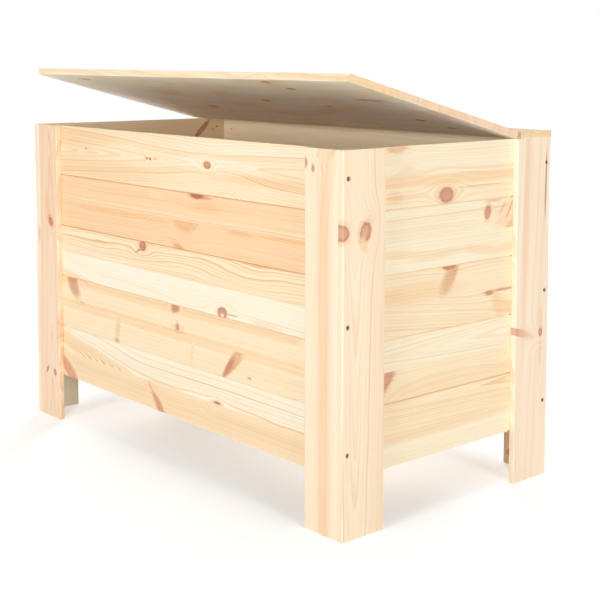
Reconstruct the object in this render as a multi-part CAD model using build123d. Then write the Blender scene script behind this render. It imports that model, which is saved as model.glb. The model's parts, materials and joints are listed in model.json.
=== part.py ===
"""Wooden toy box: boarded pine chest on four corner legs, with a hinged lid.

Millimetres, +Z up. The origin is on the floor at the centre of the box's footprint,
+X points to the right-hand end and -Y to the front. The lid is built closed and then
swung open about its hinge pins by lid_rest_angle.
"""
from build123d import *
import os

# ------------------------------------------------------------------ overall sizes
box_length = 770.0             # left to right over the legs, also the lid's length
box_depth = 400.0              # front to rear over the legs
box_height = 500.0             # floor to the top of the closed lid
ground_clearance = 75.0        # open space below the walls

# ------------------------------------------------------------------ boards
top_board_thickness = 10.0     # lid and hinge rail, cut from one glued pine panel
leg_board_thickness = 9.0
leg_width = 72.0               # what a leg shows on each of its two faces
wall_board_thickness = 9.0
wall_board_count = 5
wall_board_cover = 83.5        # bottom edge to bottom edge; the top board is ripped to fit
rail_depth = 65.0              # fixed strip along the rear of the top
lid_gap = 8.0                  # open joint between rail and lid, where the knuckles lie
batten_section = 20.0
floor_board_thickness = 9.0
floor_board_count = 9
floor_end_gap = 1.0            # free space round the floor boards

# ------------------------------------------------------------------ tongue and groove
tongue_thickness = 3.0
tongue_depth = 5.0
groove_side_clearance = 0.15
groove_end_clearance = 0.8
seam_chamfer = 0.6

# ------------------------------------------------------------------ rounded edges
leg_outer_radius = 2.0         # the long corner edge of a leg
leg_edge_radius = 1.2          # the other long edges of the leg boards
top_edge_radius = 1.5          # lid and rail

# ------------------------------------------------------------------ lid and hinges
lid_rest_angle = 14.5          # degrees open from closed
hinge_length = 50.0
hinge_end_margin = 135.0       # lid's end to the middle of a hinge
leaf_width = 20.0              # pin centre to the leaf's free edge
leaf_thickness = 1.2
knuckle_count = 5
knuckle_end_gap = 0.3
pin_radius = 1.5
pin_clearance = 0.05
leaf_relief = 3.4              # pin centre to the plate behind the other leaf's knuckle
hinge_screws_per_leaf = 3
hinge_screw_spacing = 17.0
hinge_screw_setback = 13.0     # pin centre to the screws

# ------------------------------------------------------------------ fasteners
screw_diameter = 3.5
screw_rim = 0.3                # flat rim above the head's cone
small_screw_head = 5.8
large_screw_head = 6.8
corner_screw_length = 30.0
corner_screw_margin = 35.0      # wall's top and bottom edges to the outer screws
corner_screw_drop = 11.5        # middle screw below the wall's middle
corner_screw_sinking = 2.0     # head below the leg's face
corner_hole_clearance = 0.2
rail_screw_length = 35.0
batten_screw_length = 25.0
long_row_screws = 4            # along the rail and along each batten
long_row_margin = 55.0         # box's end to the first screw of a row
hinge_screw_diameter = 2.8
hinge_screw_head = 5.2
hinge_screw_length = 9.0
nail_diameter = 1.6
nail_head_diameter = 3.4
nail_head_thickness = 0.8
wall_nail_length = 16.0
floor_nail_length = 22.0
nail_edge_share = 0.25         # of a board's width, from its edges to its nails
hole_clearance = 0.05

# ------------------------------------------------------------------ derived sizes
leg_height = box_height - top_board_thickness
face_board_width = leg_width - leg_board_thickness
end_x = box_length / 2
front_y = -box_depth / 2
rear_y = box_depth / 2
panel_end_x = end_x - leg_board_thickness            # outer face of the end walls
panel_rear_y = rear_y - leg_board_thickness          # outer face of the long walls
inner_end_x = panel_end_x - wall_board_thickness
inner_rear_y = panel_rear_y - wall_board_thickness

rail_front_y = rear_y - rail_depth
lid_rear_y = rail_front_y - lid_gap
barrel_radius = pin_radius + pin_clearance + leaf_thickness
pin_y = rail_front_y - lid_gap / 2
pin_z = box_height + leaf_thickness - barrel_radius
lid_axis = Axis((0, pin_y, pin_z), (-1, 0, 0))       # a positive turn opens the lid
hinge_places = {"left": hinge_end_margin - end_x, "right": end_x - hinge_end_margin}

floor_half_length = inner_end_x - floor_end_gap
floor_half_depth = inner_rear_y - floor_end_gap
floor_base_z = ground_clearance + batten_section
floor_top_z = floor_base_z + floor_board_thickness
floor_edge_cover = floor_half_length - (floor_board_count - 2) * wall_board_cover / 2

corner_screw_heights = (ground_clearance + corner_screw_margin,
                        (ground_clearance + leg_height) / 2 - corner_screw_drop,
                        leg_height - corner_screw_margin)
long_row_pitch = 2 * (end_x - long_row_margin) / (long_row_screws - 1)
long_row_places = [long_row_margin - end_x + place * long_row_pitch
                   for place in range(long_row_screws)]

UP = Vector(0, 0, 1)


# ------------------------------------------------------------------ helpers
def block(x_range, y_range, z_range):
    """Rectangular board between two limits on each axis."""
    size = [high - low for low, high in (x_range, y_range, z_range)]
    centre = [(low + high) / 2 for low, high in (x_range, y_range, z_range)]
    return Pos(*centre) * Box(*size)


def upright_edges(board):
    return board.edges().filter_by(Axis.Z)


def matchboard(corner, inward, along, length, cover, thickness, groove=True, tongue=True):
    """Tongue-and-groove board.

    corner is at its outer face, at the lower edge of its cover width. Its section runs
    inward through the thickness and then across the cover width, and is extruded along.
    """
    middle = thickness / 2
    half_tongue = tongue_thickness / 2
    half_groove = half_tongue + groove_side_clearance
    groove_depth = tongue_depth + groove_end_clearance
    chamfer_low = seam_chamfer if groove else 0
    chamfer_high = seam_chamfer if tongue else 0
    outline = [(chamfer_low, 0)]
    if groove:
        outline += [(middle - half_groove, 0), (middle - half_groove, groove_depth),
                    (middle + half_groove, groove_depth), (middle + half_groove, 0)]
    outline += [(thickness, 0), (thickness, cover)]
    if tongue:
        outline += [(middle + half_tongue, cover), (middle + half_tongue, cover + tongue_depth),
                    (middle - half_tongue, cover + tongue_depth), (middle - half_tongue, cover)]
    outline.append((chamfer_high, cover))
    if tongue:
        outline.append((0, cover - chamfer_high))
    if groove:
        outline.append((0, chamfer_low))
    section_plane = Plane(origin=corner, x_dir=inward, z_dir=along)
    section = section_plane * make_face(Polyline(*outline, close=True))
    return extrude(section, amount=length, dir=Vector(*along))


def wood_screw(diameter, head_diameter, length):
    """Countersunk screw with a crossed slot, head up at the origin, pointing down."""
    radius, head_radius = diameter / 2, head_diameter / 2
    cone_end = screw_rim + head_radius - radius
    section = Polyline((0, 0), (head_radius, 0), (head_radius, -screw_rim), (radius, -cone_end),
                       (radius, diameter - length), (0, -length), close=True)
    slot_length, slot_width, slot_depth = head_radius, head_diameter / 7, cone_end * 0.7
    screw = revolve(Plane.XZ * make_face(section), Axis.Z)
    return screw - [Box(slot_length, slot_width, 2 * slot_depth),
                    Box(slot_width, slot_length, 2 * slot_depth)]


def screw_hole(diameter, head_diameter, length, sinking=0.0, side_clearance=hole_clearance):
    """Space that a wood_screw needs, with its head sunk below the surface at the origin."""
    radius = diameter / 2 + hole_clearance
    head_radius = head_diameter / 2 + side_clearance
    cone_start = -sinking - screw_rim - hole_clearance
    section = Polyline((0, 1), (head_radius, 1), (head_radius, cone_start),
                       (radius, cone_start - (head_radius - radius)),
                       (radius, -sinking - length - hole_clearance),
                       (0, -sinking - length - hole_clearance), close=True)
    return revolve(Plane.XZ * make_face(section), Axis.Z)


def nail(length):
    """Flat-headed nail, head up at the origin, pointing down."""
    radius, head_radius = nail_diameter / 2, nail_head_diameter / 2
    section = Polyline((0, 0), (head_radius, 0), (head_radius, -nail_head_thickness),
                       (radius, -nail_head_thickness), (radius, 2 * nail_diameter - length),
                       (0, -length), close=True)
    return revolve(Plane.XZ * make_face(section), Axis.Z)


def nail_hole(length):
    radius = nail_diameter / 2 + hole_clearance
    head_radius = nail_head_diameter / 2 + hole_clearance
    section = Polyline((0, 1), (head_radius, 1), (head_radius, -nail_head_thickness),
                       (radius, -nail_head_thickness), (radius, -length - hole_clearance),
                       (0, -length - hole_clearance), close=True)
    return revolve(Plane.XZ * make_face(section), Axis.Z)


def placed(shape, spots):
    """Copies of a fastener, one at each (point, direction that its head faces)."""
    return [Plane(origin=point, z_dir=facing) * shape for point, facing in spots]


def bored(board, holes):
    """The board less those holes whose boxes reach it."""
    limits = board.bounding_box()
    near = []
    for hole in holes:
        reach = hole.bounding_box()
        if (reach.min.X < limits.max.X and reach.max.X > limits.min.X
                and reach.min.Y < limits.max.Y and reach.max.Y > limits.min.Y
                and reach.min.Z < limits.max.Z and reach.max.Z > limits.min.Z):
            near.append(hole)
    return board - near if near else board


def opened(shape):
    """From the closed lid's place to where it stands open at rest."""
    return shape.rotate(lid_axis, lid_rest_angle)


# ------------------------------------------------------------------ where boards and fasteners go
def wall_board_limits():
    """Lower and upper limits of each wall board's cover, the top one ripped to fit."""
    edges = [ground_clearance + row * wall_board_cover for row in range(wall_board_count)]
    edges.append(leg_height)
    return list(zip(edges[:-1], edges[1:]))


def floor_board_limits():
    """Left and right limits of each floor board's cover, the outer two ripped to fit."""
    inner_start = -floor_half_length + floor_edge_cover
    edges = [-floor_half_length]
    edges += [inner_start + row * wall_board_cover for row in range(floor_board_count - 1)]
    edges.append(floor_half_length)
    return list(zip(edges[:-1], edges[1:]))


def nail_pair(low, high):
    """Where the two nails of a board go across its cover."""
    setback = nail_edge_share * (high - low)
    return low + setback, high - setback


def corner_screw_spots():
    """Through each side board into the seam between face board and wall boards."""
    spots = []
    for x_side in (1, -1):
        for y_side in (1, -1):
            for height in corner_screw_heights:
                point = (x_side * (end_x - corner_screw_sinking), y_side * panel_rear_y, height)
                spots.append((point, (x_side, 0, 0)))
    return spots


def wall_nail_spots():
    """Two from inside at each end of every wall board, into the leg board behind it."""
    heights = [height for low, high in wall_board_limits() for height in nail_pair(low, high)]
    long_wall_x = end_x - leg_width + face_board_width / 2
    end_wall_y = (inner_rear_y + rear_y - leg_width) / 2
    spots = []
    for height in heights:
        for x_side in (1, -1):
            for y_side in (1, -1):
                spots.append(((x_side * long_wall_x, y_side * inner_rear_y, height),
                              (0, -y_side, 0)))
                spots.append(((x_side * inner_end_x, y_side * end_wall_y, height),
                              (-x_side, 0, 0)))
    return spots


def rail_screw_spots():
    wall_middle_y = (inner_rear_y + panel_rear_y) / 2
    return [((x, wall_middle_y, box_height), UP) for x in long_row_places]


def batten_screw_spots():
    height = ground_clearance + batten_section / 2
    face_y = inner_rear_y - batten_section
    return [((x, side * face_y, height), (0, -side, 0))
            for side in (-1, 1) for x in long_row_places]


def floor_nail_spots():
    batten_middle_y = inner_rear_y - batten_section / 2
    return [((x, side * batten_middle_y, floor_top_z), UP)
            for left, right in floor_board_limits()
            for x in nail_pair(left, right) for side in (-1, 1)]


def hinge_screw_spots(side):
    """side is 1 for the rail's leaves and -1 for the lid's."""
    middle = (hinge_screws_per_leaf - 1) / 2
    return [((x + (place - middle) * hinge_screw_spacing, pin_y + side * hinge_screw_setback,
              box_height + leaf_thickness), UP)
            for x in hinge_places.values() for place in range(hinge_screws_per_leaf)]


# ------------------------------------------------------------------ fasteners and their holes
corner_screw = wood_screw(screw_diameter, small_screw_head, corner_screw_length)
rail_screw = wood_screw(screw_diameter, large_screw_head, rail_screw_length)
batten_screw = wood_screw(screw_diameter, large_screw_head, batten_screw_length)
hinge_screw = wood_screw(hinge_screw_diameter, hinge_screw_head, hinge_screw_length)

# The corner screws' places are at their sunk heads, so their holes start further out.
corner_hole = Pos(0, 0, corner_screw_sinking) * screw_hole(
    screw_diameter, small_screw_head, corner_screw_length, corner_screw_sinking,
    corner_hole_clearance)
rail_hole = screw_hole(screw_diameter, large_screw_head, rail_screw_length)
batten_hole = screw_hole(screw_diameter, large_screw_head, batten_screw_length)
hinge_hole = screw_hole(hinge_screw_diameter, hinge_screw_head, hinge_screw_length)

carcass_holes = (placed(corner_hole, corner_screw_spots())
                 + placed(nail_hole(wall_nail_length), wall_nail_spots())
                 + placed(rail_hole, rail_screw_spots())
                 + placed(batten_hole, batten_screw_spots())
                 + placed(nail_hole(floor_nail_length), floor_nail_spots()))
rail_leaf_holes = placed(hinge_hole, hinge_screw_spots(1))
lid_leaf_holes = placed(hinge_hole, hinge_screw_spots(-1))

parts = {}


# ------------------------------------------------------------------ legs
def leg_face_board(x_side, y_side):
    """Board on the long face, butted against the side board."""
    x_range = sorted((x_side * panel_end_x, x_side * (end_x - leg_width)))
    y_range = sorted((y_side * rear_y, y_side * panel_rear_y))
    board = block(x_range, y_range, (0, leg_height))
    free_edges = upright_edges(board).sort_by(Axis.X)
    free_edges = free_edges[:2] if x_side > 0 else free_edges[2:]
    return fillet(free_edges, leg_edge_radius)


def leg_side_board(x_side, y_side):
    """Board on the short face; its edge laps the face board and makes the corner."""
    x_range = sorted((x_side * end_x, x_side * panel_end_x))
    y_range = sorted((y_side * rear_y, y_side * (rear_y - leg_width)))
    board = block(x_range, y_range, (0, leg_height))
    outward = upright_edges(board).sort_by(Axis((0, 0, 0), (x_side, y_side, 0)))
    board = fillet(outward[-1], leg_outer_radius)
    free_edges = upright_edges(board).sort_by(Axis((0, 0, 0), (0, y_side, 0)))[:2]
    return fillet(free_edges, leg_edge_radius)


for x_name, x_side in (("left", -1), ("right", 1)):
    for y_name, y_side in (("front", -1), ("rear", 1)):
        leg_name = f"{y_name}_{x_name}_leg"
        parts[f"{leg_name}_face_board"] = bored(leg_face_board(x_side, y_side), carcass_holes)
        parts[f"{leg_name}_side_board"] = bored(leg_side_board(x_side, y_side), carcass_holes)

# ------------------------------------------------------------------ walls
# Each wall: where its boards start, which way is inward, which way they run, their length.
walls = {
    "front": ((-panel_end_x, -panel_rear_y), (0, 1, 0), (1, 0, 0), 2 * panel_end_x),
    "rear": ((panel_end_x, panel_rear_y), (0, -1, 0), (-1, 0, 0), 2 * panel_end_x),
    "right": ((panel_end_x, -inner_rear_y), (-1, 0, 0), (0, 1, 0), 2 * inner_rear_y),
    "left": ((-panel_end_x, inner_rear_y), (1, 0, 0), (0, -1, 0), 2 * inner_rear_y),
}
for wall_name, ((start_x, start_y), inward, along, run) in walls.items():
    for number, (low, high) in enumerate(wall_board_limits(), start=1):
        board = matchboard((start_x, start_y, low), inward, along, run, high - low,
                           wall_board_thickness, groove=number > 1,
                           tongue=number < wall_board_count)
        parts[f"{wall_name}_wall_board_{number}"] = bored(board, carcass_holes)

# ------------------------------------------------------------------ floor
for side, batten_name in ((-1, "front"), (1, "rear")):
    batten = block((-floor_half_length, floor_half_length),
                   sorted((side * inner_rear_y, side * (inner_rear_y - batten_section))),
                   (ground_clearance, floor_base_z))
    parts[f"floor_batten_{batten_name}"] = bored(batten, carcass_holes)

for number, (left, right) in enumerate(floor_board_limits(), start=1):
    board = matchboard((left, floor_half_depth, floor_top_z), (0, 0, -1), (0, -1, 0),
                       2 * floor_half_depth, right - left, floor_board_thickness,
                       groove=number > 1, tongue=number < floor_board_count)
    parts[f"floor_board_{number}"] = bored(board, carcass_holes)

# ------------------------------------------------------------------ hinge rail and lid
rail = block((-end_x, end_x), (rail_front_y, rear_y), (leg_height, box_height))
rail = fillet(rail.edges().filter_by(Axis.X), top_edge_radius)
parts["hinge_rail"] = bored(rail, carcass_holes + rail_leaf_holes)

lid = block((-end_x, end_x), (front_y, lid_rear_y), (leg_height, box_height))
lid = fillet(lid.edges().filter_by(Axis.X), top_edge_radius)
parts["lid_panel"] = opened(bored(lid, lid_leaf_holes))


# ------------------------------------------------------------------ hinges
def hinge_leaf(centre_x, side):
    """One leaf lying on the top boards, side 1 on the rail and -1 on the lid.

    The plate runs off the top of the barrel, which hangs in the joint below it. Odd
    knuckles belong to the rail's leaf and even ones to the lid's.
    """
    left = centre_x - hinge_length / 2
    right = centre_x + hinge_length / 2
    plate_y = sorted((pin_y, pin_y + side * leaf_width))
    plate = block((left, right), plate_y, (box_height, box_height + leaf_thickness))
    lying = Pos(centre_x, pin_y, pin_z) * Rot(0, 90, 0)
    leaf = plate + lying * Cylinder(barrel_radius, hinge_length)
    leaf -= lying * Cylinder(pin_radius + pin_clearance, 2 * hinge_length)
    knuckle_pitch = hinge_length / knuckle_count
    first_cut = 1 if side > 0 else 0
    relief_y = sorted((pin_y - side * 2 * barrel_radius, pin_y + side * leaf_relief))
    relief_z = (pin_z - 2 * barrel_radius, pin_z + 2 * barrel_radius)
    for knuckle in range(first_cut, knuckle_count, 2):
        start = left + knuckle * knuckle_pitch - knuckle_end_gap / 2
        stop = start + knuckle_pitch + knuckle_end_gap
        leaf -= block((start, stop), relief_y, relief_z)
    return leaf


for hinge_name, centre_x in hinge_places.items():
    rail_leaf = bored(hinge_leaf(centre_x, 1), rail_leaf_holes)
    lid_leaf = bored(hinge_leaf(centre_x, -1), lid_leaf_holes)
    pin = Pos(centre_x, pin_y, pin_z) * Rot(0, 90, 0) * Cylinder(pin_radius, hinge_length)
    parts[f"{hinge_name}_hinge_rail_leaf"] = rail_leaf
    parts[f"{hinge_name}_hinge_lid_leaf"] = opened(lid_leaf)
    parts[f"{hinge_name}_hinge_pin"] = pin

# ------------------------------------------------------------------ screws and nails
parts["corner_screws"] = Compound(placed(corner_screw, corner_screw_spots()))
parts["rail_screws"] = Compound(placed(rail_screw, rail_screw_spots()))
parts["batten_screws"] = Compound(placed(batten_screw, batten_screw_spots()))
parts["hinge_rail_screws"] = Compound(placed(hinge_screw, hinge_screw_spots(1)))
parts["hinge_lid_screws"] = opened(Compound(placed(hinge_screw, hinge_screw_spots(-1))))
parts["wall_nails"] = Compound(placed(nail(wall_nail_length), wall_nail_spots()))
parts["floor_nails"] = Compound(placed(nail(floor_nail_length), floor_nail_spots()))

# ------------------------------------------------------------------ export
os.makedirs("parts", exist_ok=True)
for node, shape in parts.items():
    export_step(shape, f"parts/{node}.step")
print(len(parts), "nodes; pin axis y", pin_y, "z", pin_z)
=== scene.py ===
"""Looks of the wooden toy box: pine legs and walls, a glued pine lid, zinc hinges and screws.

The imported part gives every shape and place. Each wooden piece gets pine figured for its own
board: year rings round a pith, bent past the knots that run through it.
"""
import json
import math
import random

import bpy
import numpy as np
from mathutils import Matrix, Vector


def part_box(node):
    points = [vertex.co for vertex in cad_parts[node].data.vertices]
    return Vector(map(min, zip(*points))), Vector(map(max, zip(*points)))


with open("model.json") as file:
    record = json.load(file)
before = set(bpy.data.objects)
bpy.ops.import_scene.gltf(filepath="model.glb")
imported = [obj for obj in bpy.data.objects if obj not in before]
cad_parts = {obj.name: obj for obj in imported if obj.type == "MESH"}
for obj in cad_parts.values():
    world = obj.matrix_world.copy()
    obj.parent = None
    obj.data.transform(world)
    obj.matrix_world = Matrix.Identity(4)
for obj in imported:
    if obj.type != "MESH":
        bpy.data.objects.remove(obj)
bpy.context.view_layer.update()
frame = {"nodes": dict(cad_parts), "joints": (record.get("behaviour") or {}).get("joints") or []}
MM = 0.001

# ------------------------------------------------------------------ corner legs
# Four L-shaped legs, each of two planed pine boards that are nailed to the walls from inside
# and sawn off square at the foot. Their grain runs up, and a few round knots pass through.


def shade(tree, kind, *feeds, **options):
    """Adds a shader node, feeds its inputs in order and returns its first output in use.

    A feed is another node's output, a plain value, or None for an input left as it is.
    """
    node = tree.nodes.new("ShaderNode" + kind)
    for option, setting in options.items():
        setattr(node, option, setting)
    for entry, feed in zip([entry for entry in node.inputs if entry.enabled], feeds):
        if isinstance(feed, bpy.types.NodeSocket):
            tree.links.new(feed, entry)
        elif feed is not None:
            entry.default_value = feed
    return next(result for result in node.outputs if result.enabled)


def work(tree, operation, *feeds):
    return shade(tree, "Math", *feeds, operation=operation)


def aim(tree, operation, *feeds):
    return shade(tree, "VectorMath", *feeds, operation=operation)


def ramp(tree, feed, low, high):
    """A smooth rise from 0 at low to 1 at high, or a fall if low is the larger."""
    return shade(tree, "MapRange", feed, low, high, 0.0, 1.0,
                 interpolation_type="SMOOTHSTEP")


def blend(tree, share, first, second, way="MIX"):
    return shade(tree, "Mix", share, first, second, data_type="RGBA", blend_type=way)


def soft_noise(tree, place, stretch, detail=1.0):
    """Noise from -0.5 to 0.5 whose cells are 1 / stretch metres along each axis."""
    stretched = aim(tree, "MULTIPLY", place, stretch)
    return work(tree, "SUBTRACT", shade(tree, "TexNoise", stretched, 1.0, detail), 0.5)


def new_effect(name, takes, gives):
    """An empty node group; takes and gives list the names and kinds of its sockets."""
    tree = bpy.data.node_groups.new(name, "ShaderNodeTree")
    for way, sockets in (("INPUT", takes), ("OUTPUT", gives)):
        for socket, kind in sockets:
            tree.interface.new_socket(socket, in_out=way, socket_type="NodeSocket" + kind)
    taken = tree.nodes.new("NodeGroupInput").outputs
    given = tree.nodes.new("NodeGroupOutput").inputs
    return tree, taken, given


def effect(tree, group, **feeds):
    """Places a node group with its inputs fed by name, and returns its outputs."""
    node = tree.nodes.new("ShaderNodeGroup")
    node.node_tree = group
    for name, feed in feeds.items():
        entry = node.inputs[name.replace("_", " ")]
        if isinstance(feed, bpy.types.NodeSocket):
            tree.links.new(feed, entry)
        else:
            entry.default_value = feed
    return node.outputs


def make_year_rings():
    """Pine cut from a trunk whose pith runs beside the board.

    The distance from the pith is the root of (across - shift - pith across) squared plus
    (depth + pith depth) squared, plus one slope times the length short of the crest or
    another times the length past it, rounded over 20 mm, plus lift and a slow wave. Divided
    by the ring width, its fraction gives pale spring wood that darkens into a thin autumn
    line. Closer to the pith than heart, the wood is heartwood.
    """
    tree, taken, given = new_effect(
        "year rings",
        [("Place", "Vector"), ("Shift", "Float"), ("Lift", "Float"), ("Seed", "Float"),
         ("Pith across", "Float"), ("Pith depth", "Float"), ("Slope before", "Float"),
         ("Slope after", "Float"), ("Crest", "Float"), ("Ring width", "Float"),
         ("Wave", "Float"), ("Heart", "Float"),
         ("Contrast", "Float"), ("Sapwood", "Color"), ("Heartwood", "Color")],
        [("Colour", "Color"), ("Autumn wood", "Float")])
    seed = taken["Seed"]
    spot = aim(tree, "ADD", taken["Place"],
               shade(tree, "CombineXYZ", seed, work(tree, "MULTIPLY", seed, 0.7), seed))
    slow = soft_noise(tree, spot, (4, 16, 16), 1.5)
    quick = soft_noise(tree, spot, (18, 90, 90), 1.0)
    wave = work(tree, "MULTIPLY", taken["Wave"],
                work(tree, "MULTIPLY_ADD", quick, 0.14, slow))
    shade(tree, "SeparateXYZ", taken["Place"])
    along, across, depth = tree.nodes[-1].outputs
    from_pith = work(tree, "SUBTRACT", work(tree, "SUBTRACT", across, taken["Shift"]),
                     taken["Pith across"])
    below_pith = work(tree, "ADD", depth, taken["Pith depth"])
    squares = work(tree, "MULTIPLY_ADD", from_pith, from_pith,
                   work(tree, "MULTIPLY", below_pith, below_pith))
    from_crest = work(tree, "SUBTRACT", along, taken["Crest"])
    rounded = work(tree, "SQRT", work(tree, "MULTIPLY_ADD", from_crest, from_crest,
                                      (20 * MM) ** 2))
    before = work(tree, "MULTIPLY", work(tree, "SUBTRACT", from_crest, rounded), 0.5)
    after = work(tree, "MULTIPLY", work(tree, "ADD", from_crest, rounded), 0.5)
    rise = work(tree, "MULTIPLY_ADD", before, taken["Slope before"],
                work(tree, "MULTIPLY_ADD", after, taken["Slope after"], taken["Lift"]))
    distance = work(tree, "ADD", work(tree, "ADD", work(tree, "SQRT", squares), wave), rise)
    seeded = work(tree, "ADD", distance, seed)
    uneven = shade(tree, "TexNoise", seeded, 140.0, 1.0, noise_dimensions="1D")
    rings = work(tree, "MULTIPLY_ADD", uneven, 2.2,
                 work(tree, "DIVIDE", distance, taken["Ring width"]))
    season = work(tree, "FRACT", rings)
    year = shade(tree, "TexWhiteNoise",
                 work(tree, "ADD", work(tree, "FLOOR", rings), seed), noise_dimensions="1D")
    decade = shade(tree, "TexNoise", seeded, 75.0, 1.0, noise_dimensions="1D")
    patchy = soft_noise(tree, spot, (7, 45, 45), 2.0)
    strength = work(tree, "MULTIPLY", work(tree, "MULTIPLY_ADD", year, 0.7, 0.3),
                    work(tree, "MULTIPLY_ADD", decade, 2.0, work(tree, "MULTIPLY", patchy, 0.8)))
    autumn = work(tree, "MULTIPLY", strength,
                  work(tree, "MULTIPLY", ramp(tree, season, 0.15, 0.86),
                       ramp(tree, season, 1.0, 0.88)))
    in_heart = ramp(tree, work(tree, "SUBTRACT", distance, taken["Heart"]), 3 * MM, -3 * MM)
    fibres = soft_noise(tree, spot, (24, 1300, 1300), 3.0)
    flecks = soft_noise(tree, spot, (16, 420, 420), 2.0)
    cloud = soft_noise(tree, spot, (3, 45, 45), 2.0)
    wood = blend(tree, in_heart, taken["Sapwood"], taken["Heartwood"])
    contrast = work(tree, "MULTIPLY", taken["Contrast"],
                    work(tree, "MULTIPLY_ADD", in_heart, 0.7, 0.7))
    wood = blend(tree, work(tree, "MULTIPLY", autumn, contrast), wood,
                 AUTUMN_WOOD, "MULTIPLY")
    level = work(tree, "MULTIPLY_ADD", fibres, 0.11,
                 work(tree, "MULTIPLY_ADD", flecks, 0.10,
                      work(tree, "MULTIPLY_ADD", cloud, 0.13, 1.0)))
    wood = aim(tree, "MULTIPLY", wood,
               shade(tree, "CombineXYZ", work(tree, "POWER", level, 0.3),
                     work(tree, "POWER", level, 0.9), work(tree, "POWER", level, 1.6)))
    tree.links.new(wood, given["Colour"])
    tree.links.new(work(tree, "MULTIPLY_ADD", fibres, 0.5, autumn), given["Autumn wood"])
    return tree


def make_knot():
    """One branch through the board, as an oval round its centre, turned in the face.

    In the oval's own axes, scaled to its half sizes and narrowed along it by taper, the
    length of the place vector is 1 at its edge. Inside, it has its own tone, fine rings and
    a darker rim, and fades towards its far end. Round it, with e for the exponential of
    minus the squared length over a reach, the grain shifts to its middle line by bend e,
    so that the year rings part and pass by, and the rings' distance rises by swell e, so
    that some close round it.
    """
    tree, taken, given = new_effect(
        "knot",
        [("Place", "Vector"), ("Shift", "Float"), ("Lift", "Float"), ("Stain", "Color"),
         ("Centre", "Vector"), ("Turn", "Float"), ("Half size", "Vector"), ("Taper", "Float"),
         ("Tone", "Color"), ("Rim", "Float"), ("Softness", "Float"), ("Fade", "Float"),
         ("Glow", "Float"), ("Bend", "Float"), ("Swell", "Float"), ("Keep", "Float")],
        [("Shift", "Float"), ("Lift", "Float"), ("Stain", "Color")])
    turned = shade(tree, "CombineXYZ", 0.0, 0.0, taken["Turn"])
    plain_oval = shade(tree, "Mapping", taken["Place"], taken["Centre"], turned,
                       taken["Half size"], vector_type="TEXTURE")
    shade(tree, "SeparateXYZ", plain_oval)
    lengthwise, sidewise, _ = tree.nodes[-1].outputs
    narrowed = work(tree, "MULTIPLY_ADD", lengthwise, taken["Taper"], 1.0)
    oval = shade(tree, "CombineXYZ", lengthwise, work(tree, "MULTIPLY", sidewise, narrowed), 0.0)
    ragged = soft_noise(tree, taken["Place"], (150, 260, 120), 2.0)
    reach = aim(tree, "LENGTH", oval)
    edge = work(tree, "MULTIPLY_ADD", ragged, 0.3, reach)
    inner = work(tree, "SUBTRACT", 1.0, taken["Softness"])
    outer = work(tree, "ADD", 1.0, taken["Softness"])
    fading = work(tree, "MULTIPLY", ramp(tree, lengthwise, -0.4, 0.9), taken["Fade"])
    solid = work(tree, "MULTIPLY", work(tree, "MULTIPLY", ramp(tree, edge, outer, inner),
                                        work(tree, "SUBTRACT", 1.0, fading)), taken["Keep"])
    rim = work(tree, "MULTIPLY", ramp(tree, edge, 0.55, 0.95), taken["Rim"])
    half_width = aim(tree, "DOT_PRODUCT", taken["Half size"], (0, 1, 0))
    rings = work(tree, "SINE", work(tree, "MULTIPLY", edge,
                                    work(tree, "MULTIPLY", half_width, 3800.0)))
    fibres = soft_noise(tree, oval, (1.2, 6, 1), 2.0)
    lines = work(tree, "MULTIPLY", taken["Rim"], work(tree, "MULTIPLY_ADD", rings, 0.2, fibres))
    core = work(tree, "MULTIPLY", ramp(tree, edge, 0.6, 0.1), taken["Rim"])
    level = work(tree, "SUBTRACT", work(tree, "MULTIPLY_ADD", core, 0.15,
                                        work(tree, "ADD", lines, 1.0)), rim)
    tone = aim(tree, "MULTIPLY", taken["Tone"],
               shade(tree, "CombineXYZ", work(tree, "POWER", level, 0.55), level,
                     work(tree, "POWER", level, 1.25)))
    halo = work(tree, "MULTIPLY_ADD", ragged, 0.5,
                aim(tree, "LENGTH", aim(tree, "MULTIPLY", oval, (0.55, 0.72, 0))))
    glow = work(tree, "MULTIPLY", ramp(tree, halo, 1.15, 0.5),
                work(tree, "MULTIPLY", taken["Glow"], taken["Keep"]))
    stain = blend(tree, glow, taken["Stain"], WOOD_BESIDE_KNOT, "MULTIPLY")
    tree.links.new(blend(tree, solid, stain, tone), given["Stain"])
    far = aim(tree, "LENGTH", aim(tree, "MULTIPLY", oval, (0.30, 0.42, 0)))
    pull = work(tree, "EXPONENT",
                work(tree, "MULTIPLY", work(tree, "MULTIPLY", far, far), -1.0))
    pull = work(tree, "MULTIPLY", pull, work(tree, "MULTIPLY", taken["Bend"], taken["Keep"]))
    offset = aim(tree, "DOT_PRODUCT", aim(tree, "SUBTRACT", taken["Place"], taken["Centre"]),
                 (0, 1, 0))
    tree.links.new(work(tree, "MULTIPLY_ADD", offset, pull, taken["Shift"]), given["Shift"])
    near = work(tree, "MULTIPLY", reach, 0.5)
    rise = work(tree, "EXPONENT",
                work(tree, "MULTIPLY", work(tree, "MULTIPLY", near, near), -1.0))
    swell = work(tree, "MULTIPLY", taken["Swell"], taken["Keep"])
    tree.links.new(work(tree, "MULTIPLY_ADD", rise, swell, taken["Lift"]), given["Lift"])
    return tree


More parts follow.
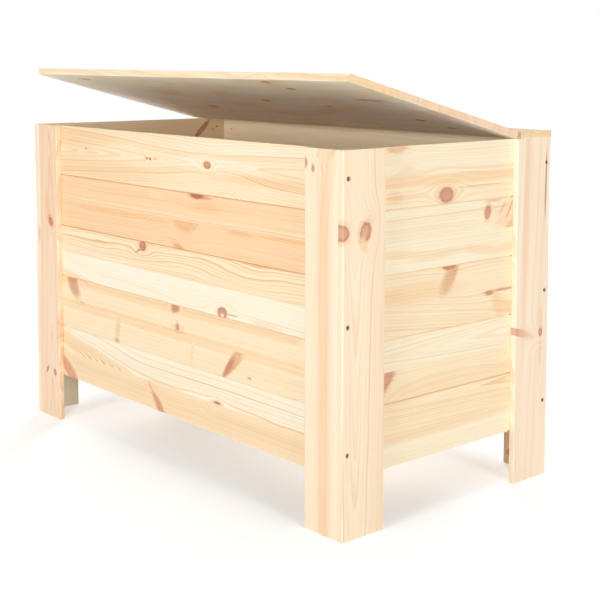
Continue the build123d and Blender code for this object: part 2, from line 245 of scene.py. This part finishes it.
AUTUMN_WOOD = (0.83, 0.53, 0.29, 1)
WOOD_BESIDE_KNOT = (0.93, 0.76, 0.62, 1)
# Painted shade for the joints between boards.
PAINTED_SEAM_SHADE = (0.80, 0.52, 0.34, 1)
END_GRAIN = (0.95, 0.86, 0.76, 1)
# Partly sapwood, partly painted light from the floor below on undersides.
SAPWOOD_AND_LIGHT_TINT = (1.02, 1.15, 1.32, 1)
year_rings = make_year_rings()
knot_effect = make_knot()
CREAM = (0.965, 0.885, 0.700)
PALE = (0.960, 0.835, 0.605)
STRAW = (0.955, 0.790, 0.535)
PEACH = (0.950, 0.755, 0.505)
ROSY = (0.950, 0.785, 0.590)
TAN = (0.940, 0.665, 0.395)
RED = (0.73, 0.47, 0.43)
BROWN = (0.67, 0.42, 0.34)
DARK = (0.62, 0.36, 0.29)
BLUSH = (0.89, 0.69, 0.61)
PINK = (0.98, 0.84, 0.76)
AMBER = (0.98, 0.87, 0.78)
BRIGHT = (1.01, 1.07, 1.17)
RESIN = (0.40, 0.23, 0.15)
PLAIN = (1, 1, 1)


def knot(along, across, length, width, tone=RED, turn=0, taper=0, rim=0.4, softness=0.18,
         fade=0, glow=0.7, bend=0.8, swell=5, strip=None):
    """One knot's place and size in millimetres from the board's corner, turn in degrees."""
    return {"centre": (along, across), "size": (length, width), "tone": tone, "turn": turn,
            "taper": taper, "rim": rim, "softness": softness, "fade": fade, "glow": glow,
            "bend": bend, "swell": swell, "strip": strip}


def streak(along, across, length, width, tone=AMBER, turn=0, **more):
    """A long stain along a branch or resin seam, which hardly bends the grain."""
    return knot(along, across, length, width, tone, turn,
                **{"rim": 0, "softness": 0.5, "glow": 0, "bend": 0.2, "swell": 0, **more})


def bow(along, across, length, width, bend=0.9, swell=0, strip=None):
    """A place that the grain bends round, with nothing to see in its middle."""
    return knot(along, across, length, width, PLAIN, rim=0, softness=0.9, glow=0, bend=bend,
                swell=swell, strip=strip)


def cut(wood=STRAW, pith=(-150, 40), slopes=(0, 0), crest=0, ring=2.8, wave=6, contrast=0.6,
        heart=-1000, core=TAN):
    """How one strip was sawn out of its trunk, in millimetres, and its two colours."""
    return {"wood": wood, "pith": pith, "slopes": slopes, "crest": crest, "ring": ring,
            "wave": wave, "contrast": contrast, "heart": heart, "core": core}


def board_axes(board, along, across):
    """Axes along, across and out of the board, its corner where both start, and its width."""
    axes = np.array([along, across, np.cross(along, across)], float)
    spots = np.empty(3 * len(board.data.vertices))
    board.data.vertices.foreach_get("co", spots)
    spots = spots.reshape(-1, 3) @ axes.T
    corner = axes.T @ np.array([spots[:, 0].min(), spots[:, 1].min(), spots[:, 2].max()])
    return Vector(corner), Matrix(axes).transposed().to_euler(), float(np.ptp(spots[:, 1]))


def dress_in_pine(name, along, across, cuts, joints=(), knots=(), seam_shades=(0, 0), seed=0.0,
                  sapwood_and_light_below=None):
    """Gives a board its pine: strips glued side by side at the joints, with their knots.

    The seam shades say how far its lower and upper edges are painted darker beside the next board:
    painted shade in the joint. Below the depth sapwood_and_light_below, in millimetres, the wood
    is painted paler and greyer: partly paler sapwood, partly painted light from the floor below on
    the underside.
    """
    board = frame["nodes"][name]
    corner, turn, width = board_axes(board, along, across)
    finish = bpy.data.materials.new("pine_" + name)
    finish.use_nodes = True
    tree = finish.node_tree
    principled = tree.nodes["Principled BSDF"]
    coordinates = tree.nodes.new("ShaderNodeTexCoord").outputs
    place = shade(tree, "Mapping", coordinates["Object"], corner, turn,
                  vector_type="TEXTURE")
    shade(tree, "SeparateXYZ", place)
    across_place, depth_place = tree.nodes[-1].outputs["Y"], tree.nodes[-1].outputs["Z"]
    past = [work(tree, "GREATER_THAN", across_place, joint * MM) for joint in joints]
    inside = []
    for strip in range(len(cuts)):
        start = past[strip - 1] if strip > 0 else 1.0
        stop = past[strip] if strip < len(joints) else 0.0
        inside.append(work(tree, "SUBTRACT", start, stop))
    shift = lift = 0.0
    stain = (1, 1, 1, 1)
    for spot in knots:
        passed = effect(
            tree, knot_effect, Place=place, Shift=shift, Lift=lift, Stain=stain,
            Centre=(spot["centre"][0] * MM, spot["centre"][1] * MM, 0),
            Turn=math.radians(spot["turn"]), Taper=spot["taper"],
            Half_size=(spot["size"][0] / 2 * MM, spot["size"][1] / 2 * MM, 1.0),
            Tone=(*spot["tone"], 1), Rim=spot["rim"], Softness=spot["softness"],
            Fade=spot["fade"], Glow=spot["glow"], Bend=spot["bend"],
            Swell=spot["swell"] * MM,
            Keep=1.0 if spot["strip"] is None else inside[spot["strip"]])
        shift, lift, stain = passed["Shift"], passed["Lift"], passed["Stain"]
    colour = autumn = None
    for number, sawn in enumerate(cuts):
        figured = effect(
            tree, year_rings, Place=place, Shift=shift, Lift=lift,
            Seed=seed + 0.37 * number, Pith_across=sawn["pith"][0] * MM,
            Pith_depth=sawn["pith"][1] * MM, Slope_before=sawn["slopes"][0],
            Slope_after=sawn["slopes"][1], Crest=sawn["crest"] * MM,
            Ring_width=sawn["ring"] * MM, Wave=sawn["wave"] * MM, Heart=sawn["heart"] * MM,
            Contrast=sawn["contrast"], Sapwood=(*sawn["wood"], 1),
            Heartwood=(*sawn["core"], 1))
        if number == 0:
            colour, autumn = figured["Colour"], figured["Autumn wood"]
        else:
            colour = blend(tree, past[number - 1], colour, figured["Colour"])
            autumn = shade(tree, "Mix", past[number - 1], autumn, figured["Autumn wood"])
    colour = blend(tree, 1.0, colour, stain, "MULTIPLY")
    # Partly painted light: below this depth the colour turns paler and greyer, partly sapwood and
    # partly the light thrown up from the floor onto the underside.
    if sapwood_and_light_below:
        wander = work(tree, "MULTIPLY", soft_noise(tree, place, (9, 14, 14), 2.0), 5 * MM)
        level = work(tree, "ADD", depth_place, wander)
        below = ramp(tree, level, -sapwood_and_light_below * MM, -(sapwood_and_light_below + 1) * MM)
        colour = blend(tree, below, colour, SAPWOOD_AND_LIGHT_TINT, "MULTIPLY")
    # Painted shade: a thin darker line along the lower and upper edges, for the shade in the joint
    # between boards.
    if any(seam_shades):
        lower = work(tree, "MULTIPLY", ramp(tree, across_place, 2.1 * MM, 0.7 * MM), seam_shades[0])
        upper = work(tree, "MULTIPLY",
                     ramp(tree, across_place, width - 3.1 * MM, width - 1.4 * MM), seam_shades[1])
        colour = blend(tree, work(tree, "MAXIMUM", lower, upper), colour,
                       PAINTED_SEAM_SHADE, "MULTIPLY")
    facing = aim(tree, "DOT_PRODUCT", coordinates["Normal"], Vector(along))
    end_grain = ramp(tree, work(tree, "ABSOLUTE", facing), 0.6, 0.9)
    colour = blend(tree, end_grain, colour, END_GRAIN, "MULTIPLY")
    tree.links.new(colour, principled.inputs["Base Color"])
    roughness = work(tree, "MULTIPLY_ADD", autumn, -0.12, 0.62)
    tree.links.new(roughness, principled.inputs["Roughness"])
    relief = shade(tree, "Bump", 0.35, 0.2 * MM, None, autumn)
    tree.links.new(relief, principled.inputs["Normal"])
    board.data.materials.clear()
    board.data.materials.append(finish)


UP = (0, 0, 1)
DOWN = (0, 0, -1)
TO_RIGHT = {"front": (1, 0, 0), "right": (0, 1, 0), "rear": (-1, 0, 0), "left": (0, -1, 0)}


def dress_leg(name, seen_from, sawn, knots=(), seed=0.0):
    """Leg board with its grain upright: places are down from its top and in from its left."""
    dress_in_pine(name, DOWN, TO_RIGHT[seen_from], [sawn], knots=knots, seed=seed)


dress_leg("front_right_leg_face_board", "front",
          cut((0.948, 0.795, 0.590), pith=(36, -9), ring=2.6, wave=4, contrast=0.35, heart=13,
              core=(0.948, 0.775, 0.565)),
          [bow(-5, 20, 40, 30), streak(300, 59, 700, 8, (1.00, 1.04, 1.08)),
           streak(260, 37, 900, 20, (0.995, 0.90, 0.84), softness=0.6),
           streak(4, 52, 26, 7, (0.97, 0.86, 0.76), turn=-48),
           streak(5, 27, 16, 6, (0.93, 0.79, 0.70), turn=-25),
           knot(19, 2, 12, 6, BROWN, rim=0.1, softness=0.4),
           knot(25, 16, 9, 6, BROWN, rim=0.1, softness=0.4)],
          seed=1.0)
dress_leg("front_right_leg_side_board", "right",
          cut((0.955, 0.795, 0.575), pith=(24, 30), slopes=(0, 0.016), ring=2.6, wave=5,
              contrast=0.6),
          [streak(300, 62, 800, 34, (0.99, 0.96, 0.94)), knot(102, -1, 20, 22, glow=1),
           knot(103, 38, 25, 18, turn=-18, glow=1, swell=-8),
           streak(119, 35, 20, 12, (0.97, 0.84, 0.74), turn=20)], seed=2.0)
dress_leg("rear_right_leg_side_board", "right",
          cut(ROSY, pith=(150, 20), slopes=(0, -0.054), ring=2.6, wave=5, contrast=0.4),
          [streak(120, 7, 340, 15, (1.0, 1.03, 1.09), turn=2),
           streak(90, 20, 460, 12, (0.99, 0.88, 0.81), turn=-1),
           streak(262, 55, 50, 9), streak(308, 55, 44, 7),
           knot(273, 6, 48, 10, turn=72, rim=0.2, fade=0.8), knot(279, 55, 11, 8, BROWN),
           streak(66, 62, 100, 2.4, RESIN, turn=-1, softness=0.3)], seed=3.0)
dress_leg("front_left_leg_face_board", "front",
          cut((0.920, 0.695, 0.480), pith=(39, 6), slopes=(0, -0.03), ring=3.2, wave=6,
              contrast=0.8),
          [streak(230, 0, 800, 16, (1.11, 1.32, 1.55), softness=0.3),
           streak(360, 35, 400, 90, (1.02, 1.04, 1.10)), streak(140, 34, 60, 14, turn=10),
           knot(159, 42, 15, 11, BROWN, turn=35, glow=1), streak(184, 4, 28, 3, RED),
           knot(340, 62, 14, 6, BROWN, glow=1), streak(335, 61, 44, 8, PINK),
           knot(411, 24, 12, 5, BROWN, turn=-35), knot(412, 49, 11, 8, BROWN, turn=20)],
          seed=4.0)
dress_leg("front_left_leg_side_board", "left",
          cut(CREAM, pith=(110, 15), ring=2.6, wave=4, contrast=0.4, heart=70, core=STRAW),
          [knot(212, 30, 15, 12), knot(380, 58, 9, 7, BROWN)], seed=5.0)


def usual_knots(rng, count, length, width):
    """Ordinary knots at random places, small ones more often than large ones."""
    found = []
    for _ in range(count):
        size = 5 + 16 * rng.random() ** 2
        found.append(knot(length * rng.random(), width * rng.random(),
                          size * rng.uniform(1.0, 1.5), size, rng.choice((RED, BROWN, DARK)),
                          turn=rng.uniform(-25, 25)))
    return found


def usual_cut(rng, width):
    """A strip sawn flat or on the quarter, with or without heartwood."""
    across = rng.choice((-90, -40, 0.3 * width, 0.6 * width, width + 60))
    heart = abs(across - width / 2) + rng.uniform(-25, 10)
    return cut(rng.choice((ROSY, PALE, STRAW, PEACH)), pith=(across, rng.uniform(4, 25)),
               slopes=(0, rng.uniform(-0.06, 0.06)), ring=rng.uniform(2.2, 3.6),
               wave=rng.uniform(4, 9), contrast=rng.uniform(0.4, 0.75),
               heart=rng.choice((-1000, heart)))


rng = random.Random(11)
for side_and_end, seen_from in (("rear_left_leg_face", "rear"),
                                ("rear_left_leg_side", "left"), ("rear_right_leg_face", "rear")):
    dress_leg(side_and_end + "_board", seen_from, usual_cut(rng, 70),
              usual_knots(rng, 3, 490, 70), seed=10 * rng.random())

# ------------------------------------------------------------------ walls
# Five tongue-and-groove pine boards on each side, planed smooth. Every full board is glued
# from two strips, so its figure and colour change in a straight line along its middle.


def between(start, stop, axis):
    """Millimetres from one corner in the frame to another, along x, y or z."""
    return round((getattr(stop, axis) - getattr(start, axis)) / MM, 1)


front_low, front_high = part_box("front_wall_board_1")
right_low, right_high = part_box("right_wall_board_1")
LONG = between(front_low, front_high, "x")
SHORT = between(right_low, right_high, "y")
WALL_LENGTH = {"front": LONG, "right": SHORT, "rear": LONG, "left": SHORT}
FACE_COVER = between(front_low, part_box("front_left_leg_face_board")[1], "x")
SIDE_COVER = between(right_low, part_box("front_right_leg_side_board")[1], "y")
LEG_COVER = {"front": FACE_COVER, "right": SIDE_COVER, "rear": FACE_COVER, "left": SIDE_COVER}
BOARD_COVER = between(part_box("front_wall_board_2")[0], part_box("front_wall_board_3")[0], "z")
MIDDLE = BOARD_COVER / 2


def dress_wall(seen_from, number, cuts, knots=(), seam=0.5, seed=0.0):
    """Wall board: places are in from its left end and up from its lower edge. Seam sets how dark
    the painted shade along its edges beside the next board is.
    """
    length = WALL_LENGTH[seen_from]
    leg = LEG_COVER[seen_from]
    # Painted shadow: a small dark spot at each end of the board's lower edge, just clear of the
    # legs, for the shade in the open end of the joint.
    seam_end_shadows = [streak(place, 0, 6, 3, DARK) for place in (leg + 1, length - leg - 1)]
    seam_shades = (seam * (number > 1), seam * (number < 5))
    dress_in_pine(f"{seen_from}_wall_board_{number}", TO_RIGHT[seen_from], UP, cuts,
                  [MIDDLE] * (len(cuts) - 1), [*knots, *seam_end_shadows], seam_shades, seed)


dress_wall("front", 5,
           [cut(STRAW, pith=(43, 3), slopes=(0.05, -0.05), crest=475, ring=2.7, wave=7,
                contrast=0.8)],
           [streak(640, 28, 260, 14), streak(120, 16, 420, 34), streak(90, 66, 260, 30),
            streak(600, 70, 400, 16, BRIGHT), streak(480, 44, 200, 20, BRIGHT),
            knot(469, 43, 15, 10, BROWN, glow=1, swell=-8), knot(317, 43, 5, 4, BROWN),
            knot(326, 43, 6, 4, BROWN), streak(143, 48, 9, 2, BROWN),
            bow(516, -6, 34, 24, swell=8)],
           seam=1, seed=20.0)
dress_wall("front", 4,
           [cut(TAN, pith=(60, 6), slopes=(0.03, -0.03), crest=415, ring=3.2, wave=8,
                contrast=0.6),
            cut(TAN, pith=(-120, 30), ring=2.8, wave=6, contrast=0.5)],
           [streak(341, 73, 36, 9, BRIGHT, strip=1),
            streak(463, 66, 60, 18, (0.99, 0.91, 0.86), strip=1),
            streak(400, 48, 900, 8, BRIGHT, strip=1),
            streak(458, 80, 44, 5, (0.86, 0.62, 0.50), strip=1),
            knot(443, 83, 32, 12, (0.50, 0.24, 0.22), rim=0, softness=0.25, strip=1),
            streak(545, 38, 56, 8, PINK, strip=0), streak(640, 40, 120, 6, strip=0),
            streak(240, 37, 280, 9, strip=0),
            knot(415, 44, 40, 27, (0.92, 0.74, 0.63), rim=0.1, softness=0.9, glow=0.4, swell=-9,
                 strip=0),
            knot(406, -5, 40, 16, BLUSH, turn=-30, rim=0.1, softness=0.4, swell=6, strip=0)],
           seam=1, seed=21.0)
dress_wall("front", 3,
           [cut(CREAM, pith=(-14, 5), slopes=(0.117, 0.02), crest=200, ring=3.2, wave=8,
                contrast=0.45, heart=12.3, core=STRAW),
            cut(STRAW, pith=(-90, 40), ring=4.2, wave=22, contrast=1.3)],
           [knot(304, 77.5, 17, 15, DARK, rim=0.35, swell=6, strip=1),
            streak(294, 70, 22, 4, RED, turn=25, strip=1),
            streak(600, 5, 60, 9, strip=0), streak(527, 7, 22, 2, RED, strip=0),
            knot(503, 7, 21, 15, DARK, rim=0.35, swell=-9, strip=0),
            knot(503, 3, 9, 6, (0.96, 0.76, 0.70), rim=0, softness=0.3, glow=0, swell=0, strip=0),
            bow(420, 20, 40, 30, bend=0.4, swell=4, strip=0),
            bow(160, 62, 70, 18, bend=0.3, swell=3, strip=1),
            bow(420, 58, 60, 16, bend=0.3, swell=-4, strip=1),
            bow(560, 68, 80, 22, bend=0.3, swell=4, strip=1)],
           seam=0.6, seed=22.0)
dress_wall("front", 2,
           [cut(STRAW, pith=(-60, 30), ring=3.0, wave=8, contrast=0.5),
            cut(STRAW, pith=(150, 30), ring=2.6, wave=6, contrast=0.5)],
           [streak(350, 79, 900, 14, strip=1), streak(350, 44, 900, 8, strip=1),
            streak(350, 37, 900, 9, strip=0),
            knot(98, 71, 36, 22, RED, turn=-45, rim=0.1, softness=0.6, strip=1),
            knot(96, 81, 26, 9, BROWN, rim=0.1, softness=0.5, glow=0.3, strip=1),
            streak(122, 47, 14, 4, BLUSH, strip=1), streak(394, 52, 36, 7, PINK, strip=1),
            knot(389, 80, 18, 14, DARK, taper=0.3, rim=0.1, softness=0.4, strip=1),
            knot(394, 51, 12, 8, BROWN, turn=90, rim=0, softness=0.5, glow=1, strip=1),
            streak(396, 46, 34, 3, BLUSH, strip=1),
            streak(232, 24, 44, 12, (0.93, 0.82, 0.66), turn=82, strip=0),
            streak(229, 4, 14, 7, (0.82, 0.58, 0.42), strip=0),
            streak(430, 20, 34, 8, (0.97, 0.93, 0.86), turn=80, strip=0),
            knot(525, 22, 56, 15, (0.80, 0.56, 0.46), turn=46, taper=-0.35, rim=0.2,
                 softness=0.3, fade=0.3, bend=0.4, swell=3, strip=0),
            streak(517, 16, 38, 9, (0.64, 0.34, 0.26), turn=50, taper=-0.3, strip=0),
            streak(564, 10, 9, 3, RED, strip=0), bow(690, 76, 40, 16, swell=6, strip=1)],
           seam=0.3, seed=23.0)
dress_wall("front", 1,
           [cut(PEACH, pith=(-120, 30), ring=2.6, wave=5, contrast=0.5),
            cut(CREAM, pith=(42, 6), slopes=(0.14, 0.004), crest=290, ring=3.2, wave=10,
                contrast=0.9, heart=3.5, core=STRAW)],
           [knot(490, 42, 16, 7, DARK, swell=-7, strip=1),
            streak(360, 20, 900, 40, (0.98, 0.94, 0.90), strip=0),
            knot(341, 12, 42, 12, RED, turn=-45, taper=-0.3, rim=0.1, softness=0.4,
                 swell=2, strip=0),
            streak(322, 32, 20, 5, BLUSH, turn=-58, strip=0),
            knot(80, 12, 56, 20, RED, turn=-35, rim=0.1, softness=0.4, strip=0)],
           seam=0.3, seed=25.1)

dress_wall("right", 5,
           [cut(STRAW, pith=(16, 4), ring=3.4, wave=14, contrast=0.5),
            cut(PALE, pith=(120, 30), ring=2.8, wave=8, contrast=0.45)],
           [streak(80, 15, 30, 14, strip=0), streak(180, 34, 500, 14, strip=0),
            knot(82, 78, 30, 10, BLUSH, rim=0.1, softness=0.4),
            bow(100, 52, 26, 16, swell=5, strip=1),
            streak(245, 21, 90, 2, BLUSH, strip=0),
            knot(175, 12.5, 27, 21, (0.64, 0.41, 0.38), rim=0.2, glow=1, swell=-9)],
           seam=0.4, seed=30.0)
dress_wall("right", 4,
           [cut(PALE, pith=(-90, 30), ring=2.8, wave=8, contrast=0.3),
            cut(PALE, pith=(-90, 30), ring=2.8, wave=8, contrast=0.5)],
           [streak(95, 24, 110, 10, turn=-3, strip=0), streak(160, 18, 90, 12, turn=3, strip=0),
            streak(245, 16, 80, 12, turn=-7, strip=0), streak(300, 14, 70, 12, turn=5, strip=0),
            streak(320, 60, 90, 50, PINK, strip=1),
            knot(258, 66, 19, 13, RED, turn=80, rim=0.2, strip=1),
            streak(304, 67, 26, 3.5, RED, turn=62, strip=1),
            streak(289, 70, 18, 5, BLUSH, turn=52, strip=1),
            streak(271, 82, 34, 5, BLUSH, strip=1),
            knot(312, 47, 46, 14, (0.82, 0.58, 0.50), turn=38, rim=0.1, softness=0.5, swell=5,
                 strip=1)],
           seam=0.5, seed=31.0)
dress_wall("right", 3,
           [cut(STRAW, pith=(-90, 20), slopes=(0, 0.12), ring=2.8, wave=6, contrast=0.6),
            cut(STRAW, pith=(-90, 20), ring=2.8, wave=6, contrast=0.45)],
           [streak(110, 55, 180, 26, strip=1),
            streak(182, 67, 48, 21, (0.82, 0.61, 0.50), turn=57, softness=0.6, strip=1),
            knot(182, 84, 28, 10, DARK, rim=0.1, strip=1),
            streak(191, 71, 28, 7, (0.80, 0.57, 0.47), turn=60, strip=1),
            streak(292, 39, 80, 4, RED, strip=0), streak(282, 18, 44, 18, PINK, turn=-60, strip=0),
            streak(310, 10, 50, 18, PINK, turn=-25, strip=0),
            streak(263, 37, 16, 7, BROWN, strip=0)],
           seam=0.4, seed=32.0)
dress_wall("right", 2,
           [cut(STRAW, pith=(-90, 20), ring=2.6, wave=6, contrast=0.45),
            cut(PALE, pith=(62, 8.5), slopes=(0, -0.035), ring=6, wave=7, contrast=0.6)],
           [streak(180, 8, 500, 26, (0.99, 0.95, 0.92), strip=0),
            knot(57, 36, 62, 36, RED, turn=64, taper=-0.35, rim=0.2, softness=0.25, swell=1,
                 strip=0)],
           seam=1, seed=33.0)
dress_wall("right", 1,
           [cut(PALE, pith=(-90, 20), ring=2.8, wave=6, contrast=0.4),
            cut(STRAW, pith=(76, 5.4), slopes=(0, -0.04), ring=3.6, wave=9, contrast=0.8)],
           [streak(180, 36, 500, 14, strip=0)], seam=0.4, seed=34.0)

for seen_from in ("rear", "left"):
    for number in range(1, 6):
        length = WALL_LENGTH[seen_from]
        knots = usual_knots(rng, round(length / 130), length, BOARD_COVER)
        if number == 5:
            knots = []
        if (seen_from, number) == ("left", 5):
            knots = [knot(51, 61, 42, 9, BROWN, turn=-44, softness=0.3),
                     knot(17, 65, 4, 4, BROWN)]
        cuts = [usual_cut(rng, MIDDLE), usual_cut(rng, BOARD_COVER)]
        if number == 5:
            cuts[1].update(wood=PALE if seen_from == "rear" else PEACH, heart=-1000,
                           contrast=0.4)
        dress_wall(seen_from, number, cuts, knots, rng.uniform(0.3, 1), 10 * rng.random())

# ------------------------------------------------------------------ floor
# Nine of the same boards laid front to rear over two pine battens, nailed down. The outer
# two are ripped narrower to fit.
for number in range(1, 10):
    dress_in_pine(f"floor_board_{number}", (0, 1, 0), (-1, 0, 0),
                  [usual_cut(rng, MIDDLE), usual_cut(rng, BOARD_COVER)], [MIDDLE],
                  usual_knots(rng, 3, 362, BOARD_COVER), [rng.uniform(0.3, 1)] * 2,
                  10 * rng.random())
for place in ("front", "rear"):
    dress_in_pine("floor_batten_" + place, (1, 0, 0), (0, 1, 0), [usual_cut(rng, 20)],
                  knots=usual_knots(rng, 2, 732, 20), seed=10 * rng.random())

# ------------------------------------------------------------------ rail and lid
# One panel glued up from wide pine strips, sanded, then sawn apart: the narrow rail is
# screwed down along the rear and the lid swings on it.
LID_JOINTS = (92, 171, 250)
lid_turn = -math.radians(frame["joints"][0]["range_deg"][0])
lid_back = (0, math.cos(lid_turn), -math.sin(lid_turn))
lid_cuts = [cut(STRAW, pith=(30, 14), slopes=(0, 0.02), ring=3.4, wave=9, contrast=0.7),
            cut(ROSY, pith=(-60, 20), ring=3.0, wave=12, contrast=0.8),
            cut((0.950, 0.760, 0.580), pith=(200, 12), slopes=(0, -0.02), ring=3.2, wave=12,
                contrast=0.8),
            cut(ROSY, pith=(500, 25), ring=3.0, wave=12, contrast=0.8)]
lid_knots = [knot(592, 15, 16, 11, BROWN), knot(601, 52, 16, 10, DARK),
             knot(445, 137, 16, 11, DARK), knot(220, 207, 18, 12, BROWN),
             knot(233, 237, 9, 5, BROWN), streak(103, 30, 34, 9, BROWN),
             knot(560, 162, 12, 9, BLUSH), knot(675, 230, 14, 10, DARK),
             knot(690, 277, 14, 9, BROWN), knot(700, 107, 44, 12, BLUSH, softness=0.4)]
# The lower layers of the lid and the rail are painted paler and greyer: partly sapwood, partly
# painted light on their undersides.
dress_in_pine("lid_panel", (1, 0, 0), lid_back, lid_cuts, LID_JOINTS, lid_knots, seed=40.0,
              sapwood_and_light_below=9)
dress_in_pine("hinge_rail", (1, 0, 0), (0, 1, 0),
              [cut(PEACH, pith=(90, 12), ring=3.0, wave=6, contrast=0.4)],
              knots=usual_knots(rng, 3, 770, 65), seed=41.0, sapwood_and_light_below=7)

# ------------------------------------------------------------------ hinges and fasteners
# Pressed steel butt hinges, bright zinc plated, and yellow zinc plated wood screws. The
# wall and floor nails are plain drawn wire.


def make_plated_steel():
    """Zinc on steel: cloudy crystals a few millimetres wide and a fine rolled grain."""
    tree, taken, given = new_effect(
        "plated steel", [("Place", "Vector"), ("Tone", "Color"), ("Dull tone", "Color")],
        [("Colour", "Color"), ("Roughness", "Float")])
    shade(tree, "TexVoronoi", taken["Place"], 420.0)
    cells = tree.nodes[-1].outputs["Color"]
    cloud = shade(tree, "TexNoise", taken["Place"], 220.0, 3.0)
    rolled = shade(tree, "TexNoise", aim(tree, "MULTIPLY", taken["Place"], (60, 2500, 2500)),
                   1.0, 2.0)
    patch = work(tree, "MULTIPLY", shade(tree, "RGBToBW", cells), cloud)
    tree.links.new(blend(tree, patch, taken["Tone"], taken["Dull tone"]), given["Colour"])
    tree.links.new(work(tree, "MULTIPLY_ADD", rolled, 0.16,
                        work(tree, "MULTIPLY_ADD", patch, 0.2, 0.24)), given["Roughness"])
    return tree


plated_steel = make_plated_steel()


def make_metal(name, tone, dull_tone):
    finish = bpy.data.materials.new(name)
    finish.use_nodes = True
    tree = finish.node_tree
    principled = tree.nodes["Principled BSDF"]
    principled.inputs["Metallic"].default_value = 1.0
    place = tree.nodes.new("ShaderNodeTexCoord").outputs["Object"]
    plated = effect(tree, plated_steel, Place=place, Tone=tone, Dull_tone=dull_tone)
    tree.links.new(plated["Colour"], principled.inputs["Base Color"])
    tree.links.new(plated["Roughness"], principled.inputs["Roughness"])
    return finish


bright_zinc = make_metal("bright_zinc", (0.72, 0.73, 0.74, 1), (0.50, 0.51, 0.53, 1))
# Painted shade: the yellow zinc is painted much darker and browner than the plating is, for the
# shade in the holes that the screw heads sit in.
yellow_zinc_and_shade = make_metal("yellow_zinc_and_shade", (0.33, 0.25, 0.13, 1), (0.12, 0.09, 0.05, 1))
drawn_wire = make_metal("drawn_wire", (0.55, 0.52, 0.48, 1), (0.36, 0.33, 0.30, 1))
for name, node in frame["nodes"].items():
    metal = None
    if name.endswith(("_leaf", "_pin")):
        metal = bright_zinc
    elif name.endswith("_screws"):
        metal = yellow_zinc_and_shade
    elif name.endswith("_nails"):
        metal = drawn_wire
    if metal:
        node.data.materials.clear()
        node.data.materials.append(metal)

# ------------------------------------------------------------------ studio
# A seamless white floor in a white room, with four soft lamps: one overhead, one each for
# the front and the right, and one from behind the far corner for the other two sides.
floor_mesh = bpy.data.meshes.new("studio_floor")
reach = 12.0
floor_mesh.from_pydata([(-reach, -reach, 0), (reach, -reach, 0), (reach, reach, 0),
                        (-reach, reach, 0)], [], [(0, 1, 2, 3)])
floor = bpy.data.objects.new("studio_floor", floor_mesh)
bpy.context.scene.collection.objects.link(floor)


def seen_or_mirrored(tree):
    """1 for rays that come from the camera, a mirror or glass, and 0 for all other light."""
    rays = tree.nodes.new("ShaderNodeLightPath").outputs
    return work(tree, "MAXIMUM", rays["Is Camera Ray"],
                work(tree, "MAXIMUM", rays["Is Glossy Ray"], rays["Is Transmission Ray"]))


paper = bpy.data.materials.new("studio_paper")
paper.use_nodes = True
tree = paper.node_tree
tree.nodes.clear()
matte = shade(tree, "BsdfDiffuse", (0.885, 0.90, 0.92, 1))
floor_place = tree.nodes.new("ShaderNodeTexCoord").outputs["Object"]
far_off = ramp(tree, aim(tree, "LENGTH", floor_place), 1.2, 4.0)
white = shade(tree, "Emission", (1, 1, 1, 1),
              work(tree, "MULTIPLY", seen_or_mirrored(tree),
                   work(tree, "MULTIPLY_ADD", far_off, 0.45, 0.38)))
sheet = shade(tree, "AddShader", matte, white)
result = tree.nodes.new("ShaderNodeOutputMaterial")
tree.links.new(sheet, result.inputs["Surface"])
floor.data.materials.append(paper)

world = bpy.data.worlds.new("white_room")
bpy.context.scene.world = world
world.use_nodes = True
tree = world.node_tree
tree.nodes.clear()
strength = work(tree, "MULTIPLY_ADD", seen_or_mirrored(tree), 0.78, 0.22)
sky = shade(tree, "Background", (1, 1, 1, 1), strength)
result = tree.nodes.new("ShaderNodeOutputWorld")
tree.links.new(sky, result.inputs["Surface"])


def soft_lamp(name, place, target, size, power, glossy=True):
    """A round lamp turned to its target, which glossy surfaces may mirror or not."""
    lamp = bpy.data.lights.new(name, "AREA")
    lamp.shape = "DISK"
    lamp.size = size
    lamp.energy = power
    holder = bpy.data.objects.new(name, lamp)
    holder.location = place
    holder.visible_glossy = glossy
    holder.rotation_euler = (Vector(target) - Vector(place)).to_track_quat("-Z", "Y").to_euler()
    bpy.context.scene.collection.objects.link(holder)


soft_lamp("lamp_above", (0, 0.4, 3.0), (0, 0, 0), 2.2, 28)
soft_lamp("lamp_front", (1.0, -4.6, 0.95), (0, 0, 0.5), 1.4, 119)
soft_lamp("lamp_right", (4.7, -0.75, 0.95), (0, 0, 0.5), 1.4, 97)
soft_lamp("lamp_behind", (-3.6, 3.4, 1.2), (0, 0, 0.4), 1.4, 190, glossy=False)

# ------------------------------------------------------------------ camera
# Stands to the right of the front, a little above the box, with its back kept almost
# upright so that the box's corners stay upright too.
AZIMUTH = math.radians(48.35)
TILT = math.radians(4.742)
ROLL = math.radians(0.185)
camera_data = bpy.data.cameras.new("camera")
camera_data.sensor_width = 36
camera_data.lens = 73.71
camera_data.shift_x = -0.05
camera_data.shift_y = -0.2333
camera = bpy.data.objects.new("camera", camera_data)
camera.location = (1.4808, -1.1961, 0.6013)
back = Vector((math.sin(AZIMUTH) * math.cos(TILT), -math.cos(AZIMUTH) * math.cos(TILT),
               math.sin(TILT)))
level_turn = back.to_track_quat("Z", "Y").to_matrix()
camera.rotation_euler = (level_turn @ Matrix.Rotation(ROLL, 3, "Z")).to_euler()
bpy.context.scene.collection.objects.link(camera)
bpy.context.scene.camera = camera
bpy.context.scene.view_settings.view_transform = "Standard"
